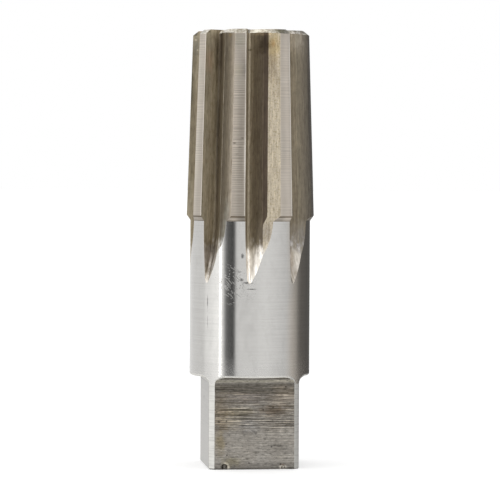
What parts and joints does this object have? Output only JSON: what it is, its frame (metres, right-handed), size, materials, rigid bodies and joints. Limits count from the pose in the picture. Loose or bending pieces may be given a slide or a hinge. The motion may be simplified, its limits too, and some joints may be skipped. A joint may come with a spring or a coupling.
{
  "type": "taper pipe reamer",
  "caption": "Short steel hand reamer that cuts a shallow taper for pipe threads: straight fluted conical nose, round shank and a square drive end.",
  "frame": {"origin": "centre of the square's end face, on the tool's axis", "axes": "+Z along the tool's axis, from the drive square to the small end of the taper; X and Y square to the flats of the drive square"},
  "size_m": [0.024, 0.024, 0.0832],
  "materials": {
    "tool_steel": "ground bright on the shank and lands, milled and oil-stained in the flutes, coarse milled on the square"
  },
  "bodies": {
    "root": {"reamer": "tool_steel"}
  },
  "joints": []
}
